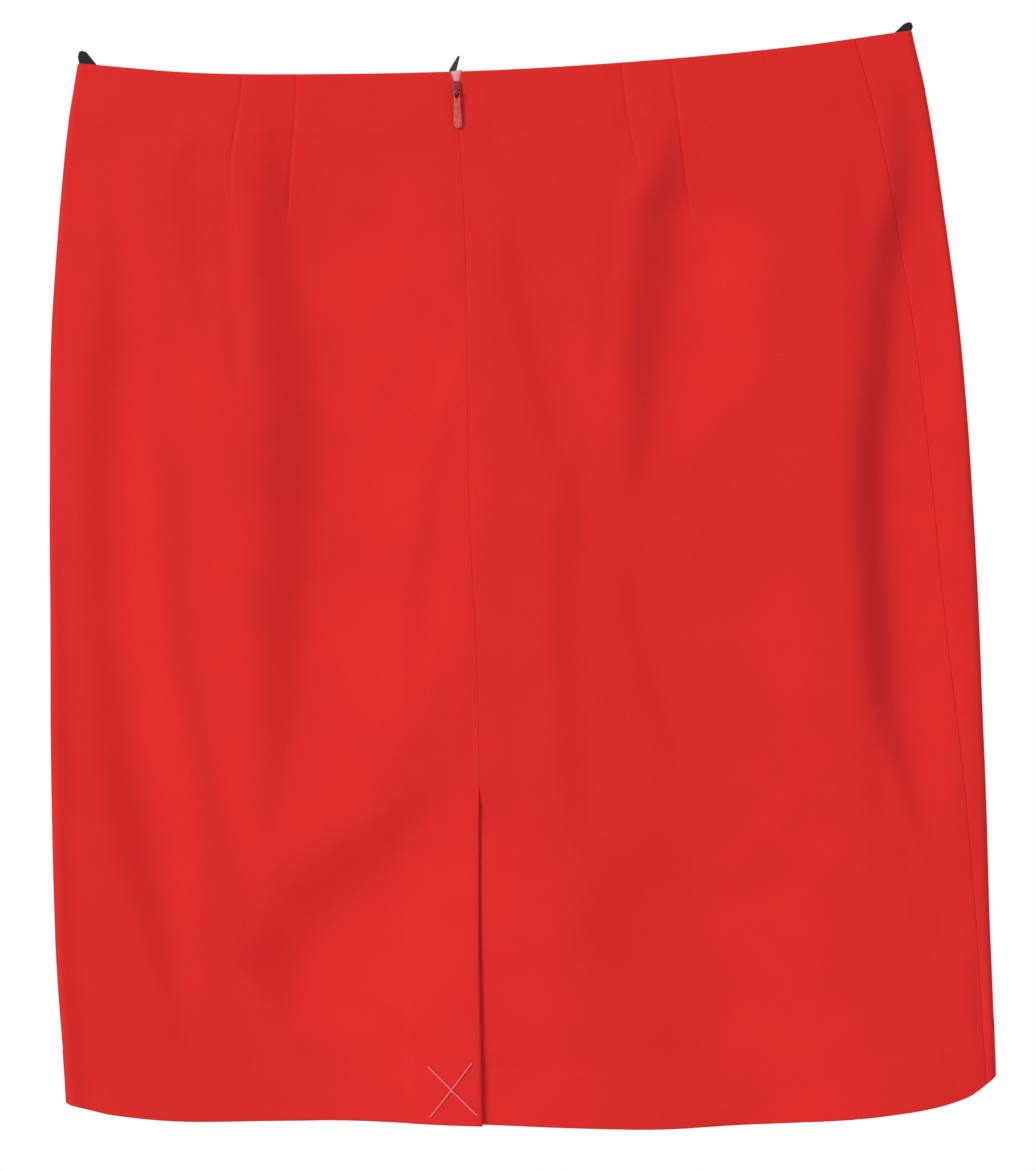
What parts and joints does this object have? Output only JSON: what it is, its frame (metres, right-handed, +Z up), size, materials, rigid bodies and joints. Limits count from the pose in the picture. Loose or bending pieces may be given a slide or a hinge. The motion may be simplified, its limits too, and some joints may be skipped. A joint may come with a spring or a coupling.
{
  "type": "pencil skirt",
  "caption": "Knee-length pencil skirt hanging by two waist loops, with back zip, darts, hip seams and a back vent that is tacked shut.",
  "frame": {"origin": "middle of the line between the tops of the two hanging loops, midway between front and back", "axes": "+Z up, the back of the skirt faces -Y, +X to the right of a viewer who looks at the back"},
  "size_m": [0.4985, 0.0552, 0.5799],
  "materials": {
    "cloth": "plain woven wool, soft matt with a faint sheen",
    "zip_tape": "pale woven zip tape",
    "slider_metal": "dark red enamel, worn",
    "pull_metal": "dull red enamel, worn",
    "hook_metal": "blackened wire",
    "loop_tape": "black folded tape"
  },
  "bodies": {
    "skirt": {"front_panel": "cloth", "back_panel_left": "cloth", "back_panel_right": "cloth", "zip_tape_left": "zip_tape", "zip_tape_right": "zip_tape", "zip_slider": "slider_metal", "waist_hook": "hook_metal", "waist_eye": "hook_metal", "hanger_loop_left": "loop_tape", "hanger_loop_right": "loop_tape"},
    "pull_tab": {"zip_pull": "pull_metal"}
  },
  "joints": [
    {"name": "pull_tab_swing", "type": "hinge", "parent": "skirt", "child": "pull_tab", "pos_m": [-0.02058, -0.0167, -0.02936], "axis": [-1, 0, 0], "range_deg": [0, 160]}
  ]
}
